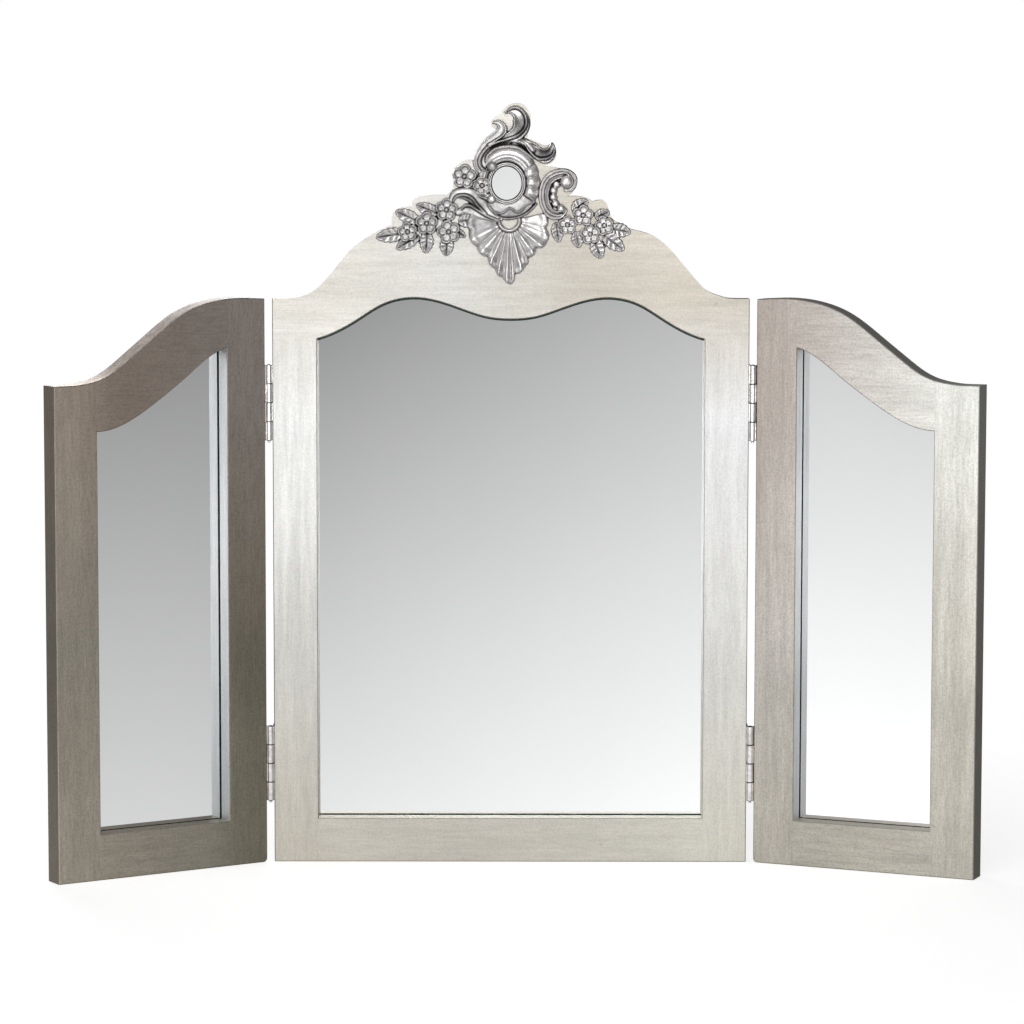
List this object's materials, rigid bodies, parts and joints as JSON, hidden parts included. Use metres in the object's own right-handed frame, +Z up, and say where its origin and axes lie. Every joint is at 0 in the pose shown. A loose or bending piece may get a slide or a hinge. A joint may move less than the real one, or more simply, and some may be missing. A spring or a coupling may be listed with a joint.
{
  "type": "tri-fold dressing-table mirror",
  "caption": "Tri-fold dressing-table mirror: a crested centre panel with cast flower and scroll ornament and two shaped wings on butt hinges.",
  "frame": {"origin": "middle of the centre panel's underside, half way through its thickness", "axes": "+Z up, -Y the front of the centre panel, +X to the right as seen from the front"},
  "size_m": [0.9087, 0.1472, 0.7531],
  "materials": {
    "silver_paint": "wood frame in brushed antique silver paint",
    "cast_ornament": "cast resin in rubbed pewter-silver finish",
    "mirror_glass": "clear silvered glass",
    "backboard": "brown hardboard",
    "dowel_wood": "plain beech",
    "hinge_steel": "bright nickel-plated steel",
    "screw_steel": "zinc-plated steel"
  },
  "bodies": {
    "centre_panel": {"centre_back_screws": "screw_steel", "centre_backboard": "backboard", "centre_bottom_rail": "silver_paint", "centre_dowels": "dowel_wood", "centre_hinge_screws": "screw_steel", "centre_left_stile": "silver_paint", "centre_mirror": "mirror_glass", "centre_right_stile": "silver_paint", "crest_board": "silver_paint", "crest_cartouche": "cast_ornament", "crest_flower_pair": "cast_ornament", "crest_lower_scroll": "cast_ornament", "crest_oval_mirror": "mirror_glass", "crest_shell": "cast_ornament", "crest_side_scroll": "cast_ornament", "crest_top_scroll": "cast_ornament", "left_flower_spray": "cast_ornament", "left_lower_hinge_centre_leaf": "hinge_steel", "left_lower_hinge_pin": "hinge_steel", "left_upper_hinge_centre_leaf": "hinge_steel", "left_upper_hinge_pin": "hinge_steel", "right_flower_spray": "cast_ornament", "right_lower_hinge_centre_leaf": "hinge_steel", "right_lower_hinge_pin": "hinge_steel", "right_upper_hinge_centre_leaf": "hinge_steel", "right_upper_hinge_pin": "hinge_steel"},
    "left_wing": {"left_lower_hinge_wing_leaf": "hinge_steel", "left_upper_hinge_wing_leaf": "hinge_steel", "left_wing_back_screws": "screw_steel", "left_wing_backboard": "backboard", "left_wing_bottom_rail": "silver_paint", "left_wing_dowels": "dowel_wood", "left_wing_hinge_screws": "screw_steel", "left_wing_inner_stile": "silver_paint", "left_wing_mirror": "mirror_glass", "left_wing_outer_stile": "silver_paint", "left_wing_top_rail": "silver_paint"},
    "right_wing": {"right_lower_hinge_wing_leaf": "hinge_steel", "right_upper_hinge_wing_leaf": "hinge_steel", "right_wing_back_screws": "screw_steel", "right_wing_backboard": "backboard", "right_wing_bottom_rail": "silver_paint", "right_wing_dowels": "dowel_wood", "right_wing_hinge_screws": "screw_steel", "right_wing_inner_stile": "silver_paint", "right_wing_mirror": "mirror_glass", "right_wing_outer_stile": "silver_paint", "right_wing_top_rail": "silver_paint"}
  },
  "joints": [
    {"name": "left_wing_fold", "type": "hinge", "parent": "centre_panel", "child": "left_wing", "pos_m": [-0.2385, -0.013, 0.28], "axis": [0, 0, 1], "range_deg": [-41.9, 148.1]},
    {"name": "right_wing_fold", "type": "hinge", "parent": "centre_panel", "child": "right_wing", "pos_m": [0.2385, -0.013, 0.28], "axis": [0, 0, -1], "range_deg": [-33.7, 156.3]}
  ]
}
